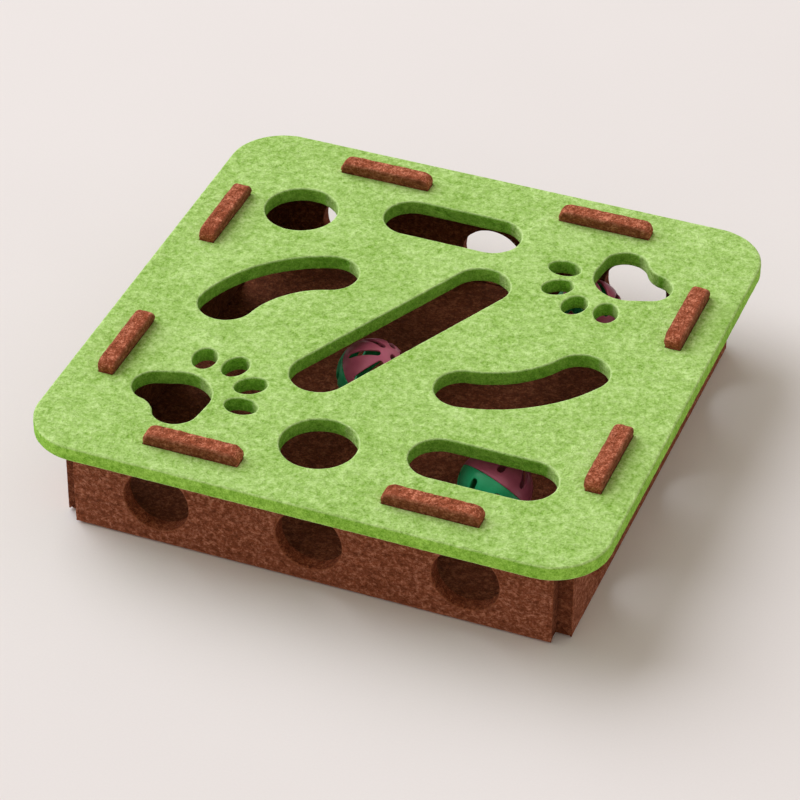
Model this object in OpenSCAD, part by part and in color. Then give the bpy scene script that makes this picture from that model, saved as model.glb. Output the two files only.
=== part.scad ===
// Felt maze box for a cat: a brown felt tray with folded-up walls, a green felt lid that drops over the
// wall tabs, and three slotted toy balls with a jingle bell in each. The origin is on the floor under the
// middle of the box, +X runs along the front edge to the right, +Y to the back and +Z up.

/* [Felt] */
// Thickness of every felt board
felt_t = 8; // [6:0.5:10]

/* [Lid] */
// Side of the square lid
lid_side = 300; // [290:1:330]
// Radius of the lid's corners
lid_corner_r = 30; // [10:1:45]
// How far the lid reaches past the walls
lid_overhang = 16; // [12:0.5:20]
// Gap between the lid and the wall tops that it rests on
lid_seat_gap = 0.2; // [0.1:0.1:0.5]

/* [Tray] */
// Height of the wall tops above the floor
wall_h = 52; // [50:1:60]
// Gap between two neighbouring walls at each open corner
corner_gap = 0.3; // [0.2:0.1:2]

/* [Tabs] */
// Length of a tab
tab_len = 50; // [30:1:60]
// Distance between the centres of the two tabs of a wall
tab_spread = 125; // [110:1:150]
// Height of a tab above the lid
tab_rise = 6.8; // [4:0.2:10]
// Radius of a tab's top corners
tab_corner_r = 5; // [1:0.5:7]
// Play around a tab in its slot, on each side
tab_play = 0.4; // [0.3:0.1:1]

/* [Wall holes] */
// Diameter of a wall hole
hole_d = 34.6; // [24:0.2:36]
// Distance between the centres of two wall holes
hole_pitch = 81.5; // [60:0.5:90]
// Height of a wall hole's lowest point above the base board
hole_sill = 0.5; // [0.5:0.5:4]

/* [Lid cut-outs] */
// Play of a ball in a round hole, on the diameter
round_play = 1; // [0.5:0.5:3]
// Centre of the round hole at the back, in shares of half the inside width
round_back_at = [-0.746, 0.6667]; // [-0.9:0.0001:0.9]
// Centre of the round hole at the front, in the same shares
round_front_at = [-0.0611, -0.8016]; // [-0.9:0.0001:0.9]
// Width of the straight slots
slot_w = 30.8; // [24:0.2:34]
// Length of the two short straight slots
slot_len = 76; // [60:1:84]
// Centre of the straight slot at the back, in the same shares
slot_back_at = [-0.1032, 0.7817]; // [-0.9:0.0001:0.9]
// Centre of the straight slot at the front, in the same shares
slot_front_at = [0.5873, -0.7167]; // [-0.9:0.0001:0.9]
// Length of the slanted centre slot
centre_slot_len = 142.8; // [100:1:150]
// Centre of the slanted slot, in the same shares
centre_slot_at = [-0.0373, 0.0222]; // [-0.9:0.0001:0.9]
// Slant of the centre slot from the front edge, in degrees
centre_slot_slant = 64.3; // [55:0.1:75]
// Width of the curved slots
curve_w = 29.6; // [24:0.2:32]
// Centre that the left curved slot bends around, in the same shares
left_curve_at = [-0.296, -0.1786]; // [-0.9:0.0001:0.9]
// Middle radius of the left curved slot
left_curve_r = 61; // [50:0.5:70]
// Directions of the left curved slot's two ends, in degrees
left_curve_angles = [109, 167.5]; // [0:0.5:360]
// Centre that the right curved slot bends around, in the same shares
right_curve_at = [0.25, 0.2857]; // [-0.9:0.0001:0.9]
// Middle radius of the right curved slot
right_curve_r = 70; // [60:0.5:80]
// Directions of the right curved slot's two ends, in degrees
right_curve_angles = [279, 330.5]; // [0:0.5:360]

/* [Paw prints] */
// Centre of the back right pad's front, in the same shares
paw_back_at = [0.7118, 0.696]; // [-0.9:0.0001:0.9]
// Centre of the front left pad's front, in the same shares
paw_front_at = [-0.7118, -0.7198]; // [-0.9:0.0001:0.9]
// Direction of the back paw print's heel from the front edge, in degrees
paw_slant = 45; // [30:1:60]
// Radius of a pad's front
pad_front_r = 18.6; // [15:0.1:20]
// Radius of a pad's two heel lobes
pad_lobe_r = 11.7; // [9:0.1:13]
// Distance of the heel lobes behind the pad's front, and off its middle line
pad_lobe_at = [5, 11.2]; // [4:0.1:14]
// Radius of the hollow between the heel lobes
pad_notch_r = 14; // [10:0.5:18]
// Turn of a pad from its toes' middle line, in degrees
pad_turn = 6; // [0:1:10]
// Length and width of a toe
toe_size = [17, 12.4]; // [8:0.1:18]
// Outer toe on one side: distance before the pad, and off its middle line
outer_toe_a_at = [26.8, -22.2]; // [-40:0.1:40]
// Middle toe on that side
middle_toe_a_at = [37.5, -8.6]; // [-40:0.1:40]
// Middle toe on the other side
middle_toe_b_at = [36.5, 9.3]; // [-40:0.1:40]
// Outer toe on the other side
outer_toe_b_at = [24.8, 22]; // [-40:0.1:40]
// Slant of each toe from the pad's middle line, in the same order, in degrees
toe_angles = [-45, -6, 32, 52]; // [-60:1:60]

/* [Balls] */
// Diameter of a ball
ball_d = 38; // [34:0.5:40]
// Wall of a ball's half shells
shell_t = 1.5; // [1:0.1:2]
// Thickness of the inner lip that the two half shells snap together on
lip_t = 0.4; // [0.3:0.1:0.5]
// Height of the inner lip on each side of the seam
lip_h = 1.5; // [1:0.1:2.5]
// Play between the lip and the half shell that snaps over it
lip_play = 0.1; // [0.05:0.05:0.2]
// Play under and around a loose piece
loose_gap = 0.3; // [0.2:0.1:0.3]
// Slots around the pole of a half shell
shell_slots = 8; // [4:1:10]
// Length and width of a shell slot
shell_slot_size = [17.2, 3.4]; // [2:0.2:18]
// Angle of a shell slot's middle from the pole, in degrees
shell_slot_angle = 49; // [46:1:52]
// Diameter of the hole at the pole
pole_hole_d = 3.6; // [2:0.2:4]
// First ball's place on the base board, in the same shares
ball_1_at = [-0.1587, 0.0119]; // [-0.9:0.0001:0.9]
// First ball's tilt of the pink pole from upright, the direction of that tilt, and the turns of the pink
// and the green half about the pole, in degrees
ball_1_angles = [38, -4, 25, 4]; // [-180:1:180]
// Second ball's place on the base board, in the same shares
ball_2_at = [0.5595, -0.4921]; // [-0.9:0.0001:0.9]
// Second ball's tilt of the pink pole from upright, the direction of that tilt, and the turns of the pink
// and the green half about the pole, in degrees
ball_2_angles = [56, 68, 23, 2]; // [-180:1:180]
// Third ball's place on the base board, in the same shares
ball_3_at = [0.5238, 0.746]; // [-0.9:0.0001:0.9]
// Third ball's tilt of the pink pole from upright, the direction of that tilt, and the turns of the pink
// and the green half about the pole, in degrees
ball_3_angles = [58, -36, 21, 37]; // [-180:1:180]

/* [Bells] */
// Diameter of a jingle bell
bell_d = 13; // [10:0.5:15]
// Sheet thickness of a bell
bell_t = 0.6; // [0.4:0.1:0.8]
// Width and height of the crimped rim at a bell's middle
bell_rim = [0.5, 0.8]; // [0.3:0.1:1.2]
// Length and width of the slit in a bell's cup
bell_slit = [9, 1.2]; // [0.8:0.1:10]
// Diameter of the holes at the slit's ends
slit_hole_d = 2.4; // [1.6:0.1:3]
// Radius of a bell's hanging loop, to its wire's middle
loop_r = 1.5; // [1:0.1:2]
// Wire thickness of the hanging loop
loop_wire = 0.8; // [0.5:0.1:1]
// Diameter of the loose pellet in a bell
pellet_d = 3.6; // [3:0.2:4]

/* [Hidden] */
$fn = 64;
// Overlap that carries a cutting tool past a face
over = 1;
// Straight pieces along each arc of a curved slot, and around a toe
curve_steps = 16;
oval_steps = 40;

inner_half = lid_side / 2 - lid_overhang - felt_t;
wall_half = inner_half - corner_gap;
wall_mid = inner_half + felt_t / 2;
lid_z = wall_h + lid_seat_gap;
tab_h = lid_z + felt_t + tab_rise - wall_h;
hole_z = felt_t + hole_sill + hole_d / 2;

ball_r = ball_d / 2;
shell_r = ball_r - shell_t;
bell_r = bell_d / 2;
ball_z = felt_t + loose_gap + ball_r;
bell_drop = shell_r - lip_t - loose_gap - bell_r;
pellet_drop = bell_r - bell_t - loose_gap - pellet_d / 2;
toe_at = [outer_toe_a_at, middle_toe_a_at, middle_toe_b_at, outer_toe_b_at];
ball_at = [ball_1_at, ball_2_at, ball_3_at] * inner_half;
ball_angles = [ball_1_angles, ball_2_angles, ball_3_angles];

green = [0.60, 0.77, 0.36];
brown = [0.42, 0.21, 0.15];
pink = [0.70, 0.42, 0.48];
emerald = [0.13, 0.60, 0.42];
brass = [0.80, 0.67, 0.35];
steel = [0.75, 0.75, 0.76];

balls = [1 : 3];

// Point at a distance from the origin in a direction
function polar(r, angle) = [r * cos(angle), r * sin(angle)];

// Square with round corners, centred
module rounded_square(side, r) {
    square([side, side - 2 * r], center = true);
    square([side - 2 * r, side], center = true);
    for (x = [-1, 1], y = [-1, 1])
        translate([x, y] * (side / 2 - r)) circle(r);
}

// Straight slot with round ends, along X, centred
module straight_slot(len, w) {
    square([len - w, w], center = true);
    for (x = [-1, 1])
        translate([x * (len - w) / 2, 0]) circle(w / 2);
}

// Points along an arc around a centre from one direction up to, but not at, another
function arc(at, r, from, to, steps) = [
    for (n = [0 : steps - 1]) at + polar(r, from + (to - from) * n / steps)
];

// Slot with round ends along an arc around the origin, between two directions
module curved_slot(r, w, angles) {
    half_turn = 180;
    polygon(concat(
        arc([0, 0], r + w / 2, angles[0], angles[1], curve_steps),
        arc(polar(r, angles[1]), w / 2, angles[1], angles[1] + half_turn, curve_steps),
        arc([0, 0], r - w / 2, angles[1], angles[0], curve_steps),
        arc(polar(r, angles[0]), w / 2, angles[0] - half_turn, angles[0], curve_steps)
    ));
}

// Oval of a given length along X and width, centred
module oval(size) {
    polygon([for (at = arc([0, 0], 0.5, 0, 360, oval_steps)) [size[0] * at[0], size[1] * at[1]]]);
}

// Half of a pad's side: the straight flank between its front and one heel lobe
module pad_flank() {
    spread = norm(pad_lobe_at);
    tangent = atan2(pad_lobe_at[1], pad_lobe_at[0]) + acos((pad_front_r - pad_lobe_r) / spread);
    polygon([[0, 0], polar(pad_front_r, tangent), pad_lobe_at + polar(pad_lobe_r, tangent), pad_lobe_at]);
}

// Heart-like pad of a paw print, heel towards +X, with the centre of its front at the origin
module pad() {
    lobe_x = pad_lobe_at[0];
    lobe_y = pad_lobe_at[1];
    notch_x = lobe_x + sqrt(pow(pad_lobe_r + pad_notch_r, 2) - pow(lobe_y, 2));
    circle(pad_front_r);
    for (side = [0, 1])
        mirror([0, side]) {
            translate(pad_lobe_at) circle(pad_lobe_r);
            pad_flank();
        }
    difference() {
        polygon([[0, 0], [lobe_x, lobe_y], [notch_x, 0], [lobe_x, -lobe_y]]);
        translate([notch_x, 0]) circle(pad_notch_r);
    }
}

// Paw print, toes towards -X
module paw() {
    rotate(pad_turn) pad();
    for (n = [0 : len(toe_at) - 1])
        translate(-toe_at[n]) rotate(toe_angles[n]) oval(toe_size);
}

// Slots for the eight tabs
module tab_slots() {
    for (quarter = [0 : 90 : 270], x = [-1, 1])
        rotate(quarter)
            translate([x * tab_spread / 2, -wall_mid])
                square([tab_len + 2 * tab_play, felt_t + 2 * tab_play], center = true);
}

module lid_panel() {
    color(green)
        translate([0, 0, lid_z])
            linear_extrude(felt_t)
                difference() {
                    rounded_square(lid_side, lid_corner_r);
                    for (at = [round_back_at, round_front_at])
                        translate(at * inner_half) circle((ball_d + round_play) / 2);
                    for (at = [slot_back_at, slot_front_at])
                        translate(at * inner_half) straight_slot(slot_len, slot_w);
                    translate(centre_slot_at * inner_half)
                        rotate(centre_slot_slant) straight_slot(centre_slot_len, slot_w);
                    translate(left_curve_at * inner_half)
                        curved_slot(left_curve_r, curve_w, left_curve_angles);
                    translate(right_curve_at * inner_half)
                        curved_slot(right_curve_r, curve_w, right_curve_angles);
                    translate(paw_back_at * inner_half) rotate(paw_slant) paw();
                    translate(paw_front_at * inner_half) rotate(paw_slant + 180) paw();
                    tab_slots();
                }
}

// Strip of the base board that carries two facing walls, mitred along its two folds
module base_strip() {
    rotate([90, 0, 90])
        linear_extrude(2 * wall_half, center = true)
            polygon([
                [-inner_half - felt_t, 0],
                [inner_half + felt_t, 0],
                [inner_half, felt_t],
                [-inner_half, felt_t]
            ]);
}

module base_panel() {
    color(brown) {
        base_strip();
        rotate(90) base_strip();
    }
}

// Outline of a tab above the wall top, centred on X
module tab_outline() {
    flat = tab_len - 2 * tab_corner_r;
    translate([-tab_len / 2, -over]) square([tab_len, tab_h - tab_corner_r + over]);
    translate([-flat / 2, -over]) square([flat, tab_h + over]);
    for (x = [-1, 1])
        translate([x * flat / 2, tab_h - tab_corner_r]) circle(tab_corner_r);
}

// Wall as it stands at the front, with its foot mitred on the fold line
module wall() {
    color(brown)
        difference() {
            translate([0, -inner_half, 0])
                rotate([90, 0, 0])
                    linear_extrude(felt_t)
                        difference() {
                            union() {
                                translate([-wall_half, 0]) square([2 * wall_half, wall_h]);
                                for (x = [-1, 1])
                                    translate([x * tab_spread / 2, wall_h]) tab_outline();
                            }
                            for (x = [-1 : 1])
                                translate([x * hole_pitch, hole_z]) circle(hole_d / 2);
                        }
            rotate([90, 0, 90])
                linear_extrude(lid_side, center = true)
                    polygon([
                        [-inner_half - felt_t - over, -over],
                        [-inner_half + over, -over],
                        [-inner_half + over, felt_t + over]
                    ]);
        }
}

module front_wall() {
    wall();
}

module right_wall() {
    rotate(90) wall();
}

module back_wall() {
    rotate(180) wall();
}

module left_wall() {
    rotate(270) wall();
}

// Moves a piece to the middle of ball n
module in_ball(n) {
    translate([ball_at[n - 1][0], ball_at[n - 1][1], ball_z]) children();
}

// Turns a half shell with its pole up to ball n's own pose
module turned_in_ball(n) {
    in_ball(n)
        rotate([0, ball_angles[n - 1][0], ball_angles[n - 1][1]]) children();
}

// Slotted half shell with its pole up
module half_shell() {
    pitch = 360 / shell_slots;
    difference() {
        sphere(ball_r);
        sphere(shell_r);
        translate([0, 0, -ball_r - over]) cylinder(h = ball_r + over, r = ball_r + over);
        cylinder(h = ball_r + over, d = pole_hole_d);
        for (n = [0 : shell_slots - 1])
            rotate([0, shell_slot_angle, n * pitch])
                translate([0, 0, shell_r / 2])
                    linear_extrude(ball_r)
                        straight_slot(shell_slot_size[0], shell_slot_size[1]);
    }
}

module ball_pink_half(n) {
    color(pink)
        turned_in_ball(n) rotate(ball_angles[n - 1][2]) half_shell();
}

// Ring inside the seam that the pink half snaps over
module snap_lip() {
    lip_top_r = sqrt(pow(shell_r, 2) - pow(lip_h, 2)) - lip_play;
    rotate_extrude()
        polygon([
            [shell_r - lip_t, -lip_h],
            [ball_r - shell_t / 2, -lip_h],
            [ball_r - shell_t / 2, 0],
            [lip_top_r, 0],
            [lip_top_r, lip_h],
            [shell_r - lip_t, lip_h]
        ]);
}

module ball_green_half(n) {
    color(emerald)
        turned_in_ball(n) {
            rotate([180, 0, 0]) rotate(ball_angles[n - 1][3]) half_shell();
            snap_lip();
        }
}

// Moves a piece to the middle of the bell that lies in ball n
module in_bell(n) {
    in_ball(n)
        translate([0, 0, -bell_drop]) children();
}

// Thin upper half ball
module bell_dome() {
    difference() {
        sphere(bell_r);
        sphere(bell_r - bell_t);
        translate([0, 0, -bell_d]) cylinder(h = bell_d, r = bell_d);
    }
}

module bell_cap(n) {
    color(brass)
        in_bell(n) {
            bell_dome();
            difference() {
                translate([0, 0, bell_r - bell_t / 2])
                    rotate([90, 0, 0])
                        rotate_extrude()
                            translate([loop_r, 0]) circle(d = loop_wire);
                sphere(bell_r - bell_t);
            }
        }
}

module bell_cup(n) {
    slit_half = (bell_slit[0] - slit_hole_d) / 2;
    color(brass)
        in_bell(n)
            difference() {
                union() {
                    rotate([180, 0, 0]) bell_dome();
                    difference() {
                        translate([0, 0, -bell_rim[1]]) cylinder(h = bell_rim[1], r = bell_r + bell_rim[0]);
                        sphere(bell_r - bell_t);
                    }
                }
                translate([0, 0, -bell_d])
                    linear_extrude(bell_d - bell_rim[1] - over) {
                        square([bell_slit[0] - slit_hole_d, bell_slit[1]], center = true);
                        for (x = [-1, 1])
                            translate([x * slit_half, 0]) circle(d = slit_hole_d);
                    }
            }
}

module bell_pellet(n) {
    color(steel)
        in_bell(n)
            translate([0, 0, -pellet_drop]) sphere(d = pellet_d);
}

lid_panel();
base_panel();
front_wall();
back_wall();
left_wall();
right_wall();
for (n = balls) {
    ball_pink_half(n);
    ball_green_half(n);
    bell_cap(n);
    bell_cup(n);
    bell_pellet(n);
}
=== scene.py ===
import math

import bpy
import numpy as np
from mathutils import Matrix, Vector, kdtree, noise
from mathutils.geometry import delaunay_2d_cdt


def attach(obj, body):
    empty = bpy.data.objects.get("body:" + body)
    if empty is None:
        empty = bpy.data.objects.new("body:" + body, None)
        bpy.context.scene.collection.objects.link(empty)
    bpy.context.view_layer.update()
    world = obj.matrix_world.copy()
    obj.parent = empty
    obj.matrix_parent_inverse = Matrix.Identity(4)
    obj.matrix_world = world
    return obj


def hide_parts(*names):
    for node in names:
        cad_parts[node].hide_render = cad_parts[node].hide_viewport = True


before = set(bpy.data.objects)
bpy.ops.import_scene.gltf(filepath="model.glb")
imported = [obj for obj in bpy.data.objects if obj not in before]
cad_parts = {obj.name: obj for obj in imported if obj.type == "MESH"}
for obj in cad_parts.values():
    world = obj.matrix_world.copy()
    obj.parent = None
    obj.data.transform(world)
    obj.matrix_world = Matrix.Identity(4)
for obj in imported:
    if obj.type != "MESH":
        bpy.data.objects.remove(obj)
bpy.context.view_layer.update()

# Base board
# The middle of the brown blank, die-cut from 8 mm pressed felt. Its four sides are mitred where the walls
# fold up, its corners are cut away so that the walls can meet, and its flat underside stands on the floor.
mm = 0.001  # the pieces' sizes are written in millimetres, and their meshes are in metres
felt_t = 8.0
wall_in = 126.0  # from the middle of the box to a wall's inner face
wall_out = wall_in + felt_t
wall_end = 125.7  # half the length of a flap where it folds up from the base
flap_corner = 2.1
notch_corner = 0.4
blank_step = 2.5  # between points along the blank's outline
fold_r = 2.0
fold_turns = (90, 78, 66, 55, 45)  # degrees round the fold, from the underside to the mitre
mitre_heights = (1.5, 3.0, 5.0, 7.0, felt_t)
corner_shade_depth = 0.7  # depth of felt at a board's end, in the corners, that gets painted shade
# how dark the painted shade in the corners is
corner_shade = 0.85
inside_shade_depth = 3.0  # how far the painted shade on the box's inner face fades into the felt
fibre_shift = Vector((37.0, 11.0, 5.0))  # from one board's fibres to the next board's
sway_scales = (0.21, 0.57)  # of the wide and the fine waves in a board's edges and faces
face_sway = 0.03
cut_sway = 0.24
thickness_sway = 0.09
brown_colours = {
    "deep": (0.126, 0.029, 0.008),
    "body": (0.258, 0.071, 0.031),
    "bright": (0.557, 0.224, 0.136),
    "edge": (1.38, 1.22, 1.18),
    # pale rims: loose fibres with a painted edge highlight
    "rim": (0.540, 0.190, 0.096),
    # tint of the painted shade on the box's inside, its corners, the tabs' faces and the holes
    "shut": (0.55, 0.46, 0.34),
}


def arc_run(centre, radius, start, stop, step):
    """Points along an arc between two directions in degrees, both ends included."""
    count = max(4, math.ceil(abs(math.radians(stop - start)) * radius / step))
    turns = np.radians(np.linspace(start, stop, count + 1))
    return np.column_stack([centre[0] + radius * np.cos(turns), centre[1] + radius * np.sin(turns)])


def joined_outline(runs, step):
    """Joins runs of points by straight edges into one closed outline, without doubled points."""
    touching, doubled = 1e-6, 1e-4
    points = []
    for run, following in zip(runs, runs[1:] + runs[:1]):
        points.extend(run[:-1])
        gap = following[0] - run[-1]
        length = np.linalg.norm(gap)
        count = max(1, math.ceil(length / step)) if length > touching else 0
        points.extend(run[-1] + gap * share for share in np.linspace(0, 1, count, endpoint=False))
    points = np.array(points)
    return points[np.linalg.norm(points - np.roll(points, 1, 0), axis=1) > doubled]


def rounded_outline(corners, step):
    """Closed outline through corners given as x, y and radius, walked anticlockwise."""
    corners = np.array(corners, float)
    runs = []
    for before, at, after in zip(np.roll(corners, 1, 0), corners, np.roll(corners, -1, 0)):
        back, ahead = before[:2] - at[:2], after[:2] - at[:2]
        back, ahead = back / np.linalg.norm(back), ahead / np.linalg.norm(ahead)
        opening = math.acos(np.clip(back @ ahead, -1, 1))
        reach, middle = at[2] / math.tan(opening / 2), back + ahead
        centre = at[:2] + middle / np.linalg.norm(middle) * at[2] / math.sin(opening / 2)
        first, last = at[:2] + back * reach - centre, at[:2] + ahead * reach - centre
        start = math.atan2(first[1], first[0])
        turn = (math.atan2(last[1], last[0]) - start + math.pi) % math.tau - math.pi
        runs.append(arc_run(centre, at[2], math.degrees(start), math.degrees(start + turn), step))
    return joined_outline(runs, step)


def into_stock(outline, hole):
    """Direction from each point of an outline into the felt or plastic beside it."""
    ahead = np.roll(outline, -1, 0) - np.roll(outline, 1, 0)
    aside = np.column_stack([-ahead[:, 1], ahead[:, 0]]) / np.linalg.norm(ahead, axis=1)[:, None]
    return -aside if hole else aside


def within(points, outlines):
    """Tells which points lie inside an odd number of outlines."""
    odd = np.zeros(len(points), bool)
    x, y = points[:, 0], points[:, 1]
    for outline in outlines:
        for (x0, y0), (x1, y1) in zip(outline, np.roll(outline, -1, 0)):
            if y0 != y1:
                odd ^= ((y0 > y) != (y1 > y)) & (x < (x1 - x0) * (y - y0) / (y1 - y0) + x0)
    return odd


def filled_face(outlines, spacing, chance):
    """Points spread over a face between outlines, and triangles on the outlines' points and these."""
    row_pitch, scatter, clear_of_rim, merge = 0.866, 0.25, 0.7, 1e-7
    rim = np.concatenate(outlines)
    links, start = [], 0
    for outline in outlines:
        count = len(outline)
        links += [(start + i, start + (i + 1) % count) for i in range(count)]
        start += count
    low, high = rim.min(0), rim.max(0)
    tall = np.arange(low[1], high[1], spacing * row_pitch)
    wide = np.arange(low[0], high[0], spacing)
    grid = np.array([(x + spacing / 2 * (n % 2), y) for n, y in enumerate(tall) for x in wide])
    grid += chance.uniform(-scatter, scatter, grid.shape) * spacing
    grid = grid[within(grid, outlines)]
    near = kdtree.KDTree(len(rim))
    for i, (x, y) in enumerate(rim):
        near.insert((x, y, 0), i)
    near.balance()
    grid = grid[[near.find((x, y, 0))[2] > spacing * clear_of_rim for x, y in grid]]
    every = np.concatenate([rim, grid])
    _, _, triangles, origin, _, _ = delaunay_2d_cdt([Vector(p) for p in every], links, [], 0, merge)
    triangles = np.array([[origin[i][0] for i in triangle] for triangle in triangles])
    return grid, triangles[within(every[triangles].mean(1), outlines)]


def edge_strips(edges):
    """Points and faces along edges, each given as rows of points and whether its faces turn over.

    Also gives the numbers of the points in the edges' first and last rows, and the count of all points.
    """
    points, faces, ends, total = [], [], [[], []], 0
    for rows, turn_over in edges:
        count = rows.shape[1]
        for r in range(len(rows) - 1):
            for i in range(count):
                a, b = total + r * count + i, total + r * count + (i + 1) % count
                quad = (a, b, b + count, a + count)
                faces.append(quad[::-1] if turn_over else quad)
        ends[0].append(total + np.arange(count))
        ends[1].append(total + (len(rows) - 1) * count + np.arange(count))
        points.append(rows.reshape(-1, 3))
        total += rows.shape[0] * count
    return points, faces, ends, total


def smooth_piece(name, points, faces, place, finish):
    """Puts points in millimetres in their place, and makes them and their faces a piece of the scene."""
    mesh = bpy.data.meshes.new(name)
    mesh.from_pydata([place @ Vector(p) * mm for p in points], [], faces)
    mesh.shade_smooth()
    mesh.materials.append(finish)
    piece = bpy.data.objects.new(name, mesh)
    bpy.context.scene.collection.objects.link(piece)
    return piece


def felt_board(name, edges, place, finish, seed, spacing, shade, bent=None):
    """One felt board from the rows of its outer edge and holes, laid flat and then put in place.

    shade tells which points have a bare cut and which get painted shade, bent moves points out of true, and
    seed gives each board fibres and wavy edges of its own.
    """
    chance = np.random.default_rng(seed)
    noise.seed_set(seed)
    points, faces, ends, on_edges = edge_strips([(edge["rows"], edge["hole"]) for edge in edges])
    cut, rim, shut, total = [], [], [], on_edges
    for edge in edges:
        count = edge["rows"].shape[1]
        cut.append(np.repeat(edge["cut"], count))
        rim.append(np.repeat(edge["rim"], count))
        shut.append(np.outer(edge["cut"], np.broadcast_to(edge["shut"], count)).ravel())
    for side, height in enumerate((0.0, felt_t)):
        outlines = [np.concatenate(points)[ring][:, :2] for ring in ends[side]]
        inner, triangles = filled_face(outlines, spacing, chance)
        known = np.concatenate(ends[side] + [total + np.arange(len(inner))])
        faces += [tuple(known[t]) if side else tuple(known[t][::-1]) for t in triangles]
        points.append(np.column_stack([inner, np.full(len(inner), height)]))
        total += len(inner)
    points = np.concatenate(points)
    cut, rim, shut = (np.concatenate([*parts, np.zeros(total - on_edges)]) for parts in (cut, rim, shut))
    offset = fibre_shift * seed
    sway = []
    for p in points:
        wide, fine = (noise.noise_vector(Vector(p) * scale + offset) for scale in sway_scales)
        sway.append(wide * 0.5 + fine * 0.5)
    sway = np.array(sway)
    sideways = face_sway + cut_sway * cut
    worn = points + sway * np.column_stack([sideways, sideways, np.full(len(cut), thickness_sway)])
    if bent:
        worn = bent(worn, sway)
    board = smooth_piece(name, worn, faces, place, finish)
    lay = (points + np.array(offset)).astype(np.float32)
    board.data.attributes.new("lay", "FLOAT_VECTOR", "POINT").data.foreach_set("vector", lay.ravel())
    cut, shut = shade(points, cut, shut)
    for word, values in (("cut", cut), ("rim", rim), ("shut", shut)):
        marked = board.data.attributes.new(word, "FLOAT", "POINT")
        marked.data.foreach_set("value", values.astype(np.float32))
    return board


class Wire:
    """A socket of a shader's nodes. Sums, differences and products of wires and numbers add Math nodes."""

    def __init__(self, tree, socket=None):
        self.tree, self.socket = tree, socket

    def node(self, kind, sockets, output=0, **settings):
        """Adds a node of any kind: first its settings, then the values or wires of its sockets."""
        made = self.tree.nodes.new("ShaderNode" + kind)
        for name, value in settings.items():
            setattr(made, name, value)
        for name, value in sockets.items():
            if isinstance(value, Wire):
                value.feed(made, name)
            else:
                made.inputs[name].default_value = value
        return Wire(self.tree, made.outputs[output])

    def feed(self, made, name):
        """Links this wire to a socket of a node."""
        self.tree.links.new(self.socket, made.inputs[name])

    def math(self, operation, *values):
        """Adds a Math node on wires and numbers."""
        return self.node("Math", dict(enumerate(values)), operation=operation)

    def __add__(self, other):
        return self.math("ADD", self, other)

    def __sub__(self, other):
        return self.math("SUBTRACT", self, other)

    def __rsub__(self, other):
        return self.math("SUBTRACT", other, self)

    def __mul__(self, other):
        return self.math("MULTIPLY", self, other)

    __radd__, __rmul__ = __add__, __mul__

    def most(self, other):
        """The larger of two wires."""
        return self.math("MAXIMUM", self, other)

    def rise(self, low, high):
        """Goes smoothly from 0 to 1 as this wire goes from low to high."""
        ends = {"Value": self, "From Min": low, "From Max": high}
        return self.node("MapRange", ends, interpolation_type="SMOOTHSTEP")

    def blend(self, one, other, kind="MIX"):
        """Colour that goes from one to other as this wire goes from 0 to 1."""
        return self.node("Mix", {0: self, 6: one, 7: other}, output=2, data_type="RGBA", blend_type=kind)


def new_finish(name):
    """An empty material with its shader, and a wire to start its nodes from."""
    material = bpy.data.materials.new(name)
    material.use_nodes = True
    return material, material.node_tree.nodes["Principled BSDF"], Wire(material.node_tree)


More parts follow.
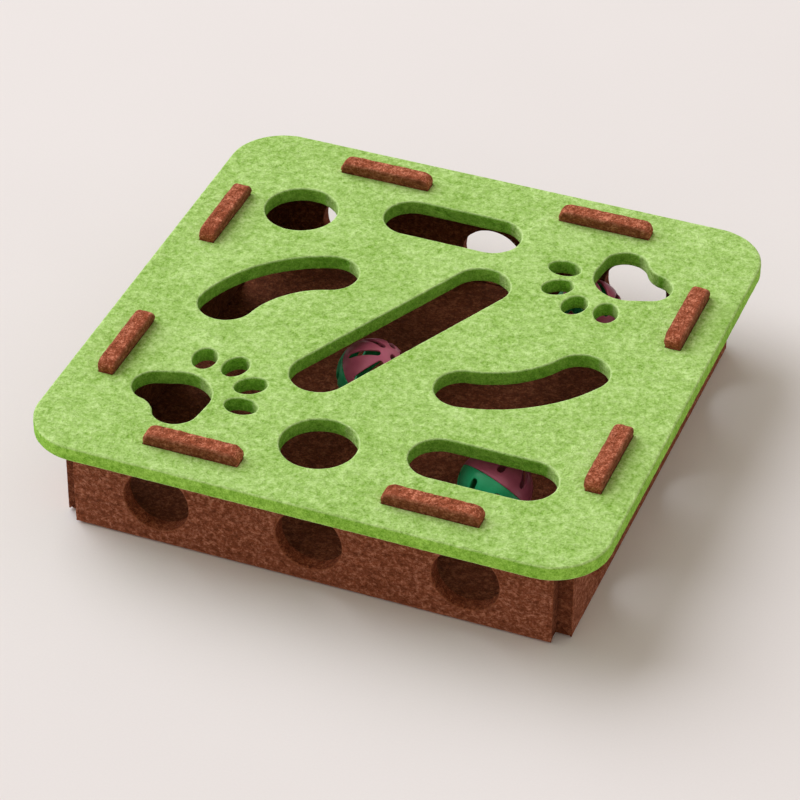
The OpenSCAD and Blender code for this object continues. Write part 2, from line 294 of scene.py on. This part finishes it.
def felt_finish(name, colours, contrast, patchy, clump, curl):
    """Pressed felt: pale and dark fibres in short curls, clumps and cloudy patches, and a denser cut edge.

    contrast spreads the tones, patchy is the strength of the wide patches, clump the clumps' scale, and curl
    how much single fibres show.
    """
    material, shader, start = new_finish(name)
    parts = ("deep", "body", "bright", "edge", "rim", "shut")
    deep, body, bright, edge, rim, painted_shade_tint = ((*colours[part], 1.0) for part in parts)
    lay = start.node("Attribute", {}, output="Vector", attribute_name="lay")
    cut, rim_fuzz_and_highlight, shut = (
        start.node("Attribute", {}, output="Fac", attribute_name=word) for word in ("cut", "rim", "shut")
    )
    drift = start.node("TexNoise", {"Vector": lay, "Scale": 0.16, "Detail": 1.0}, output="Color")
    drift = start.node("VectorMath", {0: drift, 1: (0.5, 0.5, 0.5)}, operation="SUBTRACT")
    drift = start.node("VectorMath", {0: drift, "Scale": 7.0}, operation="SCALE")
    bent = start.node("VectorMath", {0: lay, 1: drift}, operation="ADD")

    def strands(turn, shift, along, across):
        """Noise drawn out into fibres that run at an angle in degrees."""
        drawn_out = {
            "Vector": bent,
            "Location": (shift, shift * 0.7, shift * 1.3),
            "Rotation": (0.2, 0.25, math.radians(turn)),
            "Scale": (along, across, across),
        }
        laid = start.node("Mapping", drawn_out)
        return start.node("TexNoise", {"Vector": laid, "Scale": 1.0, "Detail": 1.0, "Roughness": 0.5})

    def crossed(runs, along, across, low, high):
        """Fibres of several runs, each with its own angle and shift, laid over each other."""
        laid = [strands(turn, shift, along, across).rise(low, high) for turn, shift in runs]
        every = laid[0]
        for run in laid[1:]:
            every = every.most(run)
        return every

    pale_runs = ((15, 3.0), (62, 17.0), (108, 31.0), (154, 43.0))
    dark_runs = ((40, 51.0), (98, 67.0), (160, 83.0))
    pale = crossed(pale_runs, along=0.22, across=1.35, low=0.57, high=0.72)
    dark = crossed(dark_runs, along=0.26, across=1.0, low=0.56, high=0.74)
    cloud = start.node("TexNoise", {"Vector": lay, "Scale": clump, "Detail": 2.4, "Roughness": 0.9})
    grain = start.node("TexNoise", {"Vector": lay, "Scale": 1.4, "Detail": 2.0})
    patch = start.node("TexNoise", {"Vector": lay, "Scale": 0.045, "Detail": 1.0})
    side = cut.rise(0.7, 1.0)
    clumps = (cloud - 0.5) * 1.7
    patches = (patch - 0.5) * patchy
    grains = (grain - 0.5) * (0.3 + side * 0.7)
    fibres = (pale - dark) * curl
    level = 0.5 + contrast * (clumps + patches + grains + fibres)
    colour = (level * 2).blend(deep, body)
    colour = (level * 2 - 1).blend(colour, bright)
    colour = side.blend(colour, edge, "MULTIPLY")
    # Pale rims: loose fibres with a painted edge highlight.
    colour = (rim_fuzz_and_highlight * (0.35 + pale * 0.5 + grain * 0.3)).blend(colour, rim)
    # Painted shade, as much as each board marks.
    colour = shut.blend(colour, painted_shade_tint, "MULTIPLY")
    height = (pale - dark) * (curl * 2.8) + grain * 0.5 + cloud * 1.4
    bump = start.node("Bump", {"Strength": 0.85, "Distance": 0.0006, "Height": height})
    colour.feed(shader, "Base Color")
    (0.86 + grain * 0.14).feed(shader, "Roughness")
    bump.feed(shader, "Normal")
    shader.inputs["Specular IOR Level"].default_value = 0.15
    shader.inputs["Sheen Weight"].default_value = 0.08
    shader.inputs["Sheen Roughness"].default_value = 0.6
    shader.inputs["Sheen Tint"].default_value = bright
    return material


def floor_shade(points, cut, shut):
    """Paints shade on the face that looks into the box, and on the corners of the blank, where the walls
    meet.
    """
    end = np.abs(points[:, :2]).min(1) > wall_end - corner_shade_depth
    inner = np.clip(1 - np.abs(points[:, 2] - felt_t) / inside_shade_depth, 0, 1)
    return np.where(end, 0, cut), np.maximum(shut, np.where(end, cut * corner_shade, inner))


brown_felt = felt_finish("brown_felt", brown_colours, contrast=1.2, patchy=0.14, clump=0.34, curl=0.16)
blank_corners = []
flap_end = [
    (wall_out, -wall_end, flap_corner),
    (wall_out, wall_end, flap_corner),
    (wall_end, wall_end, notch_corner),
]
for quarter in range(4):
    blank_corners += flap_end
    flap_end = [(-y, x, radius) for x, y, radius in flap_end]
blank = rounded_outline(blank_corners, blank_step)
round_fold = [(fold_r * (1 - math.cos(a)), fold_r * (1 - math.sin(a)), 0.0) for a in np.radians(fold_turns)]
fold_rows, fold_cut = [], []
for inset, height, mitre in round_fold + [(0.0, up, up) for up in mitre_heights]:
    row = blank + into_stock(blank, False) * inset
    reach = np.maximum(np.abs(row) - wall_end, 0) * (1 - mitre / (wall_out - wall_end))
    row = np.sign(row) * (np.minimum(np.abs(row), wall_end) + reach)
    fold_rows.append(np.column_stack([row, np.full(len(row), height)]))
    fold_cut.append(min(1.0, height))
fold = {
    "rows": np.array(fold_rows),
    "cut": np.array(fold_cut),
    "rim": np.zeros(len(fold_cut)),
    "hole": False,
    "shut": 0.0,
}
on_floor = Matrix.Identity(4)
base = felt_board("base_board", [fold], on_floor, brown_felt, seed=1, spacing=3.5, shade=floor_shade)
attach(base, "tray")
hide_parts("base_panel")

# Walls
# Four flaps of the same brown felt, folded up on mitred feet so that their outer faces run on from the base.
# Each has three round holes for a paw, and two tabs that stand up through the lid and lock the corners.
wall_top = 52.0
wall_corner = 1.2
wall_reach = wall_end + 0.6  # the walls' ends reach on until they press against the next walls
tab_top = 67.0
tab_middle = 62.5
tab_half = 25.0
tab_corner = 5.0
tab_root = 0.8
# painted shade on the faces of the tabs above the walls
tab_face_shade = 0.35
hole_r = 17.3
hole_pitch = 81.5
hole_sill = 0.5  # from the base board's inner face up to a hole
hole_z = felt_t + hole_sill + hole_r
foot = 16.0  # height below which a wall's points are drawn up for its mitred foot
wall_fold_turns = (45, 33, 22, 11, 0)  # degrees round the fold, from the mitre to the wall's outer face
rim_turns = (0, 22, 45, 67, 90)  # degrees round a worn rim, from a board's face to its cut
cut_shares = (0.2, 0.4, 0.6, 0.8)  # rows of points across a cut, between its two rims
edge_step = 1.5  # between points along a straight edge
round_step = 1.3  # between points along a round cut
fray_from = 59.5  # height where the tabs' rims begin to wear rounder
fray_to = 62.5
lean_from = 30.0  # height where the walls begin to lean in
lean_over = 24.0
lean_in = 0.9
swell_from = 60.4  # height where the tabs begin to swell, just above the lid
swell_over = 2.2
swell_thick = 0.2  # share of the thickness
swell_wide = 0.02  # share of the width
swell_fray = 0.25
tip_in = 0.3


def cut_rows(outline, soft, pale, hole=False, shut=0.0):
    """Rows of points up a cut edge, from one face of a board to the other, with both rims worn round.

    soft is the rims' radius on each face, pale how much their loose fibres and a painted highlight show, and
    the last argument how much painted shade the cut gets.
    """
    low, high = (np.broadcast_to(np.asarray(radius, float), len(outline)) for radius in soft)
    bends = [(1 - math.sin(a), 1 - math.cos(a)) for a in np.radians(rim_turns)]
    aside = into_stock(outline, hole)
    rows, cut, rim = [], [], []
    for inset, height in bends:
        rows.append(np.column_stack([outline + aside * (low * inset)[:, None], low * height]))
        cut.append(1 - inset)
        rim.append(pale[0] * 4 * inset * (1 - inset))
    for share in cut_shares:
        rows.append(np.column_stack([outline, low + (felt_t - high - low) * share]))
        cut.append(1.0)
        rim.append(0.0)
    for inset, height in reversed(bends):
        rows.append(np.column_stack([outline + aside * (high * inset)[:, None], felt_t - high * height]))
        cut.append(1 - inset)
        rim.append(pale[1] * 4 * inset * (1 - inset))
    return {"rows": np.array(rows), "cut": np.array(cut), "rim": np.array(rim), "hole": hole, "shut": shut}


def ring_outline(centre, radius, step):
    """Outline of a round hole."""
    return arc_run(centre, radius, 0, 360, step)[:-1]


def wall_shade(points, cut, shut):
    """Paints shade on a wall's inner face, on its ends in the corners, and on the faces of its tabs."""
    end = np.abs(points[:, 0]) > wall_end - corner_shade_depth
    inner = np.clip(1 - np.abs(points[:, 2]) / inside_shade_depth, 0, 1)
    face = np.where(points[:, 1] > wall_top, tab_face_shade * (1 - cut), inner)
    return np.where(end, 0, cut), np.maximum(shut, np.where(end, cut * corner_shade, face))


def share_up(points, start, over):
    """How far points are on their way up from start, from 0 to 1 and slow at both ends."""
    share = np.clip((points[:, 1] - start) / over, 0, 1)
    return share**2 * (3 - 2 * share)


def leaning(points, sway):
    """Lets a wall lean in a little under the lid, and its tabs swell and fray where they come out of it."""
    lean, swell = share_up(points, lean_from, lean_over), share_up(points, swell_from, swell_over)
    leant = points + sway * (swell_fray * swell)[:, None]
    leant[:, 0] += np.sign(points[:, 0]) * (np.abs(points[:, 0]) - tab_middle) * swell_wide * swell
    leant[:, 2] += (points[:, 2] - felt_t / 2) * swell_thick * swell - lean_in * lean - tip_in * swell
    return leant


def turned(degrees, axis):
    """A turn about an axis through the middle."""
    return Matrix.Rotation(math.radians(degrees), 4, axis)


wall_corners = [
    (-wall_reach, 0, wall_corner),
    (wall_reach, 0, wall_corner),
    (wall_reach, wall_top, wall_corner),
]
for middle in (tab_middle, -tab_middle):
    wall_corners += [
        (middle + tab_half, wall_top, tab_root),
        (middle + tab_half, tab_top, tab_corner),
        (middle - tab_half, tab_top, tab_corner),
        (middle - tab_half, wall_top, tab_root),
    ]
wall_corners.append((-wall_reach, wall_top, wall_corner))
outline = rounded_outline(wall_corners, edge_step)
frayed = np.interp(outline[:, 1], (fray_from, fray_to), (0.0, 1.0))
# The flap's rims are pale with loose fibres and a painted highlight.
flap = cut_rows(outline, soft=(0.25 + 1.25 * frayed, 0.4 + 1.2 * frayed), pale=(0.25, 0.45))
low, depth, plain = flap["rows"][:, :, 1], flap["rows"][:, :, 2], outline[None, :, 1]
footed = plain + (felt_t - depth) * (1 - plain / foot) + (low - plain) * np.minimum(1, depth / (felt_t / 2))
flap["rows"][:, :, 1] = np.where(plain < foot, footed, low)
on_fold = np.clip(1 - outline[:, 1] / wall_corner, 0, 1)
for row, a in zip(flap["rows"][-len(wall_fold_turns) :], np.radians(wall_fold_turns)):
    row[:, 1] += on_fold * (fold_r * (1 - math.sin(a)) - row[:, 1])
    row[:, 2] += on_fold * (felt_t - fold_r * (1 - math.cos(a)) - row[:, 2])
wall_edges = [flap]
for n in (-1, 0, 1):
    hole = ring_outline((hole_pitch * n, hole_z), hole_r, round_step)
    # The holes' cut walls get painted shade, and their rims are pale with loose fibres and a painted
    # highlight.
    wall_edges.append(cut_rows(hole, soft=(0.3, 1.0), pale=(0.2, 0.7), hole=True, shut=0.85))
upright = Matrix(((1, 0, 0, 0), (0, 0, -1, -wall_in), (0, 1, 0, 0), (0, 0, 0, 1)))
for quarter, side in enumerate(("front", "right", "back", "left")):
    wall = felt_board(
        f"{side}_wall_board",
        wall_edges,
        turned(90 * quarter, "Z") @ upright,
        brown_felt,
        seed=2 + quarter,
        spacing=2.6,
        shade=wall_shade,
        bent=leaning,
    )
    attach(wall, "tray")
    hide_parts(f"{side}_wall")

# Bells
# A small jingle bell lies loose in each ball: two cups of thin brass sheet, pressed into half balls and
# crimped together at a rim, with a slit and a wire loop, and a plain steel pellet inside.


def metal_finish(name, colour, dull, rough):
    """Bright sheet or shot with faint tarnish clouds and fine tumbling scratches."""
    material, shader, start = new_finish(name)
    place = start.node("TexCoord", {}, output="Object")
    cloud = start.node("TexNoise", {"Vector": place, "Scale": 420.0, "Detail": 3.0})
    drawn_out = {"Vector": place, "Rotation": (0.4, 0.7, 0.9), "Scale": (700.0, 9000.0, 5200.0)}
    scratch = start.node("Mapping", drawn_out)
    scratch = start.node("TexNoise", {"Vector": scratch, "Scale": 1.0, "Detail": 2.0})
    tint = cloud.rise(0.4, 0.75).blend((*colour, 1.0), (*dull, 1.0))
    bump = start.node("Bump", {"Strength": 0.25, "Distance": 0.00004, "Height": scratch})
    tint.feed(shader, "Base Color")
    (rough + cloud * 0.22 + scratch * 0.08).feed(shader, "Roughness")
    bump.feed(shader, "Normal")
    shader.inputs["Metallic"].default_value = 1.0
    return material


bell_brass = metal_finish("bell_brass", colour=(0.80, 0.60, 0.24), dull=(0.55, 0.36, 0.12), rough=0.12)
pellet_steel = metal_finish("pellet_steel", colour=(0.62, 0.62, 0.64), dull=(0.38, 0.37, 0.37), rough=0.2)
for n in (1, 2, 3):
    for piece, metal in (("cap", bell_brass), ("cup", bell_brass), ("pellet", pellet_steel)):
        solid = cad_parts[f"bell_{n}_{piece}"]
        solid.data.materials.clear()
        solid.data.materials.append(metal)

# Balls
# Three rattle balls, each of two moulded plastic half shells, one pink and one emerald, that snap together
# on an inner lip. Eight long slots and a hole at the pole of each half let the bell be heard.
ball_r = 19.0
shell_r = 17.5  # inside radius of a shell
ball_loose = 0.3  # from the base board's inner face up to a ball
ball_z = felt_t + ball_loose + ball_r
seam_gap = 0.03  # from each half to the middle of the seam
shell_soft = 0.4  # radius of the moulded edges
shell_turns = (0, 30, 60, 90)  # degrees round a moulded edge
shell_spacing = 1.5
shell_seed = 7
pole_hole_r = 1.8
pole_hole_step = 0.5
slot_count = 8
slot_tilt = 49  # degrees from the pole to a slot's middle
slot_half = (8.6, 1.7)  # half the length and half the width
slot_corner = slot_half[1] - 0.01
slot_step = 0.7
seam_step = 2.0  # degrees between points along the seam
lip_in = shell_r - 0.4
lip_out = shell_r - 0.17
lip_up = 1.5
lip_down = 1.1
lip_profile = [  # radius and height: down the inside, round the free end, and up the outside into the shell
    (lip_in, lip_up),
    (lip_in, 0.3),
    (lip_in, -lip_down),
    (lip_in + 0.06, -lip_down - 0.28),
    (lip_in + 0.17, -lip_down - 0.38),
    (lip_out - 0.01, -lip_down - 0.3),
    (lip_out, -lip_down),
    (lip_out, -0.02),
    (shell_r, 0.02),
    (shell_r - 0.08, lip_up),
]
corner_signs = [(-1, -1), (1, -1), (1, 1), (-1, 1)]
balls = {
    1: {"at": (-20.0, 1.5), "tilt": 38, "turn": -4, "pink_turn": 25, "green_turn": 4},
    2: {"at": (70.5, -62.0), "tilt": 56, "turn": 68, "pink_turn": 23, "green_turn": 2},
    3: {"at": (66.0, 94.0), "tilt": 58, "turn": -36, "pink_turn": 21, "green_turn": 37},
}


def plastic_finish(name, body, shade):
    """Moulded plastic with flow clouds, a fine mould grain and light scuffs from rolling about."""
    material, shader, start = new_finish(name)
    place = start.node("TexCoord", {}, output="Object")
    cloud = start.node("TexNoise", {"Vector": place, "Scale": 120.0, "Detail": 2.0})
    grain = start.node("TexNoise", {"Vector": place, "Scale": 2600.0, "Detail": 2.0})
    drawn_out = {"Vector": place, "Rotation": (0.5, 0.9, 0.3), "Scale": (260.0, 3800.0, 2400.0)}
    scuff = start.node("Mapping", drawn_out)
    scuff = start.node("TexNoise", {"Vector": scuff, "Scale": 1.0, "Detail": 3.0}).rise(0.58, 0.74)
    colour = cloud.rise(0.3, 0.7).blend((*body, 1.0), (*shade, 1.0))
    bump = start.node("Bump", {"Strength": 0.3, "Distance": 0.00005, "Height": grain * 0.6 - scuff * 0.5})
    colour.feed(shader, "Base Color")
    (0.3 + cloud * 0.12 + scuff * 0.2).feed(shader, "Roughness")
    bump.feed(shader, "Normal")
    shader.inputs["Specular IOR Level"].default_value = 0.4
    return material


def level_rings(levels):
    """Level rings of points about the pole's axis, given as radius and height."""
    around = np.radians(np.arange(0, 360, seam_step))
    ring = np.column_stack([np.cos(around), np.sin(around)])
    rows = [np.column_stack([ring * radius, np.full(len(ring), height)]) for radius, height in levels]
    return np.array(rows)


def shell_edges():
    """Rows of points round the seam, the hole at the pole and the slots, from the outside to the inside."""
    turns = np.radians(shell_turns)
    bends = [(shell_soft * (1 - math.sin(a)), shell_soft * (1 - math.cos(a))) for a in turns]
    levels = [(math.sqrt(ball_r**2 - shell_soft**2), shell_soft)]
    levels += [(ball_r - sunk, inset + seam_gap) for inset, sunk in bends[1:]]
    levels += [(shell_r + sunk, inset + seam_gap) for inset, sunk in reversed(bends[1:])]
    levels.append((math.sqrt(shell_r**2 - shell_soft**2), shell_soft))
    edges = [(level_rings(levels), True)]
    length, width = slot_half
    slot = rounded_outline([(x * length, y * width, slot_corner) for x, y in corner_signs], slot_step)
    openings = [(ring_outline((0, 0), pole_hole_r, pole_hole_step), Matrix.Identity(3))]
    for n in range(slot_count):
        openings.append((slot, (turned(360 / slot_count * n, "Z") @ turned(slot_tilt, "Y")).to_3x3()))
    profile = [(grow, ball_r - sunk) for grow, sunk in bends]
    profile += [(grow, shell_r + sunk) for grow, sunk in reversed(bends)]
    for outline, aim in openings:
        aside, rows = into_stock(outline, True), []
        for grow, radius in profile:
            flat = outline + aside * grow
            domed = np.column_stack([flat, np.sqrt(radius**2 - (flat**2).sum(1))])
            rows.append(domed @ np.array(aim).T)
        edges.append((np.array(rows), False))
    return edges


def half_shell(name, place, finish, lip):
    """One half shell, made with its pole up and rounded at the seam, slots and hole, then put in place."""
    points, faces, ends, total = edge_strips(shell_edges())
    chance = np.random.default_rng(shell_seed)
    for side, radius in enumerate((ball_r, shell_r)):
        every = np.concatenate(points)
        outlines = []
        for loop in ends[side]:
            far = np.arccos(np.clip(every[loop][:, 2] / np.linalg.norm(every[loop], axis=1), -1, 1))
            aside = np.linalg.norm(every[loop][:, :2], axis=1)
            outlines.append(every[loop][:, :2] / aside[:, None] * (far * radius)[:, None])
        inner, triangles = filled_face(outlines, shell_spacing, chance)
        known = np.concatenate(ends[side] + [total + np.arange(len(inner))])
        faces += [tuple(known[t][::-1]) if side else tuple(known[t]) for t in triangles]
        far = np.linalg.norm(inner, axis=1)
        flat = inner / far[:, None] * np.sin(far / radius)[:, None] * radius
        points.append(np.column_stack([flat, np.cos(far / radius) * radius]))
        total += len(inner)
    if lip:
        rings = level_rings(lip_profile)
        points.append(rings.reshape(-1, 3))
        count = rings.shape[1]
        for r in range(len(rings)):
            a, b = total + r * count, total + (r + 1) % len(rings) * count
            faces += [(a + i, b + i, b + (i + 1) % count, a + (i + 1) % count) for i in range(count)]
    return smooth_piece(name, np.concatenate(points), faces, place, finish)


pink_plastic = plastic_finish("pink_plastic", body=(0.660, 0.145, 0.255), shade=(0.540, 0.105, 0.200))
emerald_plastic = plastic_finish("emerald_plastic", body=(0.030, 0.560, 0.245), shade=(0.020, 0.460, 0.190))
for n, ball in balls.items():
    on_base = Matrix.Translation((*ball["at"], ball_z))
    rolled = on_base @ turned(ball["turn"], "Z") @ turned(ball["tilt"], "Y")
    pink_pole = turned(ball["pink_turn"], "Z")
    green_pole = turned(180, "X") @ turned(ball["green_turn"], "Z")
    for colour, finish, pole in (("pink", pink_plastic, pink_pole), ("green", emerald_plastic, green_pole)):
        shell = half_shell(f"ball_{n}_{colour}_shell", rolled @ pole, finish, lip=colour == "green")
        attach(shell, f"ball_{n}")
        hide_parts(f"ball_{n}_{colour}_half")
        "pink_plastic" if colour == "pink" else "emerald_plastic"

# Lid
# A square board of light green felt that drops over the eight tabs and rests on the walls. Its round holes,
# slots and two paw prints are die-cut, so the balls can be seen, pawed at and fished out.
lid_gap = 0.2  # from the walls up to the lid
lid_z = wall_top + lid_gap
lid_half = 150.0
lid_corner = 30.0
tab_play = 0.25
tab_inset = 0.9  # the slots sit this much further in than the walls, because the tabs lean
tab_slot_corner = 0.5
tab_slot_step = 1.8
round_hole_r = 19.5
straight_slot_length = 76.0
centre_slot_length = 142.8
straight_slot_w = 30.8
curved_slot_w = 29.6
long_step = 1.6  # between points along a slot's long sides
lobe_step = 1.2
cut_out_reach = wall_in - 3  # the cut-outs lie within this, the tab slots outside it
bare_share = 0.2  # of the bare cut's colour left, as painted light, on the walls of cut-outs that face the lamp
toward_light = np.array((0.96, -0.28))  # into the felt, where a cut-out's wall faces the lamp
light_over = 0.35  # how slowly a wall that turns to the lamp goes from dark to light
green_colours = {
    "deep": (0.192, 0.384, 0.031),
    "body": (0.408, 0.630, 0.162),
    "bright": (0.640, 0.870, 0.332),
    "edge": (0.74, 0.96, 0.40),
    # pale rims: loose fibres with a painted edge highlight
    "rim": (0.780, 0.900, 0.490),
    # tint of the painted shade on the walls of the cut-outs
    "shut": (0.66, 0.75, 0.62),
}


def turned_flat(outline, angle):
    """An outline turned about the middle by an angle in degrees."""
    c, s = math.cos(math.radians(angle)), math.sin(math.radians(angle))
    return outline @ np.array(((c, s), (-s, c)))


def straight_slot(at, length, slant):
    """Outline of a straight slot with round ends."""
    half, end_r, turn = (length - straight_slot_w) / 2, straight_slot_w / 2, math.radians(slant)
    tip = np.array((math.cos(turn), math.sin(turn))) * half
    runs = [
        arc_run(np.array(at) + tip, end_r, slant - 90, slant + 90, round_step),
        arc_run(np.array(at) - tip, end_r, slant + 90, slant + 270, round_step),
    ]
    return joined_outline(runs, long_step)


def curved_slot(at, radius, start, stop):
    """Outline of a slot with round ends along an arc."""
    end_r = curved_slot_w / 2
    turns = np.radians((start, stop))
    first, last = np.array(at) + radius * np.column_stack([np.cos(turns), np.sin(turns)])
    runs = [
        arc_run(at, radius + end_r, start, stop, long_step),
        arc_run(last, end_r, stop, stop + 180, round_step),
        arc_run(at, radius - end_r, stop, start, long_step),
        arc_run(first, end_r, start - 180, start, round_step),
    ]
    return joined_outline(runs, long_step)


def paw_print(at, slant):
    """Outlines of a heart-like pad and its four toes, given by their places ahead and aside, and leans."""
    front_r, lobe_r, notch_r, lobe, pad_turn = 18.6, 11.7, 14.0, np.array((5.0, 11.2)), 6
    toe_long, toe_wide, toe_step = 8.5, 6.2, 8.0
    toes = ((26.8, -22.2, -45), (37.5, -8.6, -6), (36.5, 9.3, 32), (24.8, 22.0, 52))
    flank = math.degrees(math.atan2(lobe[1], lobe[0]) + math.acos((front_r - lobe_r) / np.linalg.norm(lobe)))
    notch = lobe[0] + math.sqrt((lobe_r + notch_r) ** 2 - lobe[1] ** 2)
    meet = math.degrees(math.atan2(lobe[1], notch - lobe[0]))
    runs = [
        arc_run((0, 0), front_r, flank, 360 - flank, round_step),
        arc_run((lobe[0], -lobe[1]), lobe_r, -flank, meet, lobe_step),
        arc_run((notch, 0), notch_r, 180 + meet, 180 - meet, lobe_step),
        arc_run(lobe, lobe_r, -meet, flank, lobe_step),
    ]
    around = np.radians(np.arange(0, 360, toe_step))
    oval = np.column_stack([toe_long * np.cos(around), toe_wide * np.sin(around)])
    outlines = [turned_flat(joined_outline(runs, edge_step), pad_turn)]
    outlines += [turned_flat(oval, lean) - (ahead, aside) for ahead, aside, lean in toes]
    return [turned_flat(outline, slant) + at for outline in outlines]


def lid_shade(points, cut, shut):
    """Paints light and shade on the cut-outs' walls: the lid face's colour where they face the lamp, dark
    elsewhere.
    """
    cut_out = np.abs(points[:, :2]).max(1) < cut_out_reach
    return np.where(cut_out, bare_share * cut + (1 - bare_share) * shut, cut), shut


cut_outs = [ring_outline(at, round_hole_r, round_step) for at in ((-94.0, 84.0), (-7.7, -101.0))]
cut_outs += [straight_slot(at, straight_slot_length, slant=0) for at in ((-13.0, 98.5), (74.0, -90.3))]
cut_outs.append(straight_slot((-4.7, 2.8), centre_slot_length, slant=64.3))
cut_outs.append(curved_slot((-37.3, -22.5), radius=61.0, start=109.0, stop=167.5))
cut_outs.append(curved_slot((31.5, 36.0), radius=70.0, start=279.0, stop=330.5))
cut_outs += paw_print((89.7, 87.7), slant=45) + paw_print((-89.7, -90.7), slant=225)
lid_corners = corner_signs[1:] + corner_signs[:1]  # round from the front right
square = rounded_outline([(x * lid_half, y * lid_half, lid_corner) for x, y in lid_corners], edge_step)
# The lid's outer rims, the lower one most, are pale with loose fibres and a painted highlight.
lid_edges = [cut_rows(square, soft=(0.9, 1.3), pale=(0.9, 0.2))]
for outline in cut_outs:
    # The cut-outs' walls get painted shade where they turn from the lamp and none where they face it, and
    # their rims are pale with loose fibres and a painted highlight.
    in_light = np.clip(into_stock(outline, True) @ toward_light / light_over, 0, 1)
    lid_edges.append(cut_rows(outline, soft=(0.6, 1.1), pale=(0.2, 0.55), hole=True, shut=1 - in_light))
tab_slot = [(x * (tab_half + tab_play), y * (felt_t / 2 + tab_play)) for x, y in lid_corners]
slot_row = tab_inset - wall_in - felt_t / 2
for quarter in range(4):
    for middle in (-tab_middle, tab_middle):
        corners = [(middle + x, slot_row + y, tab_slot_corner) for x, y in tab_slot]
        outline = turned_flat(rounded_outline(corners, tab_slot_step), 90 * quarter)
        lid_edges.append(cut_rows(outline, soft=(0.2, 0.3), pale=(0.0, 0.0), hole=True))
green_felt = felt_finish("green_felt", green_colours, contrast=1.15, patchy=0.4, clump=0.29, curl=0.09)
on_walls = Matrix.Translation((0, 0, lid_z))
lid = felt_board("lid_board", lid_edges, on_walls, green_felt, seed=9, spacing=2.8, shade=lid_shade)
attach(lid, "lid")
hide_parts("lid_panel")

# Studio
# A plain pale floor just under the box, and one large soft lamp high on the left. A weak even light comes
# from all round, and the camera and glossy surfaces see it as a pale backdrop past the floor.
floor_half = 6.0  # metres, as all places and sizes of the studio and the camera
floor_drop = 0.0002
lamp_at = Vector((-8.58, 2.46, 8.08))
lamp_aim = Vector((0, 0, 0.05))
even_strength = 0.52
backdrop_extra = 0.36
mesh = bpy.data.meshes.new("floor")
mesh.from_pydata([(x * floor_half, y * floor_half, 0) for x, y in corner_signs], [], [(0, 1, 2, 3)])
floor = bpy.data.objects.new("floor", mesh)
floor.location.z = -floor_drop
bpy.context.scene.collection.objects.link(floor)
pale_floor, shader, start = new_finish("pale_floor")
place = start.node("TexCoord", {}, output="Object")
weave = start.node("TexNoise", {"Vector": place, "Scale": 900.0, "Detail": 3.0})
cloud = start.node("TexNoise", {"Vector": place, "Scale": 9.0, "Detail": 2.0})
tone = (weave * 0.6 + cloud * 0.4).blend((0.800, 0.742, 0.724, 1.0), (0.860, 0.800, 0.782, 1.0))
tone.feed(shader, "Base Color")
shader.inputs["Roughness"].default_value = 0.95
shader.inputs["Specular IOR Level"].default_value = 0.1
mesh.materials.append(pale_floor)

light = bpy.data.lights.new("window_lamp", "AREA")
light.shape = "DISK"
light.size = 13.6
light.energy = 1580.0
light.color = (0.875, 0.925, 1.0)
lamp = bpy.data.objects.new("window_lamp", light)
lamp.location = lamp_at
lamp.rotation_mode = "QUATERNION"
lamp.rotation_quaternion = (lamp_aim - lamp_at).to_track_quat("-Z", "Y")
bpy.context.scene.collection.objects.link(lamp)

world = bpy.data.worlds.new("even_light")
world.use_nodes = True
background = world.node_tree.nodes["Background"]
background.inputs["Color"].default_value = (1.0, 0.94, 0.84, 1.0)
start = Wire(world.node_tree)
seen = start.node("LightPath", {}, output="Is Camera Ray")
for ray in ("Is Glossy Ray", "Is Transmission Ray"):
    seen = seen.most(start.node("LightPath", {}, output=ray))
(even_strength + seen * backdrop_extra).feed(background, "Strength")
bpy.context.scene.world = world
bpy.context.scene.view_settings.view_transform = "Standard"

# Camera
# A long lens in front of the box and a little to its right, which looks down on the lid. Its place, turn,
# tilt and roll are fitted to the lid's edges in the photograph.
camera_at = (0.51787, -1.35364, 1.11926)
camera_turn = math.radians(21.0943)
camera_tilt = math.radians(37.2387)
camera_roll = math.radians(0.4152)
outward = math.cos(camera_tilt)
back = Vector((math.sin(camera_turn) * outward, -math.cos(camera_turn) * outward, math.sin(camera_tilt)))
right = Vector((math.cos(camera_turn), math.sin(camera_turn), 0.0))
right = Matrix.Rotation(camera_roll, 3, back) @ right
up = back.cross(right)
lens = bpy.data.cameras.new("camera")
lens.lens = 158.489
lens.sensor_width = 36.0
lens.clip_start = 0.05
lens.clip_end = 50.0
camera = bpy.data.objects.new("camera", lens)
camera.matrix_world = Matrix.Translation(camera_at) @ Matrix((right, up, back)).transposed().to_4x4()
bpy.context.scene.collection.objects.link(camera)
bpy.context.scene.camera = camera
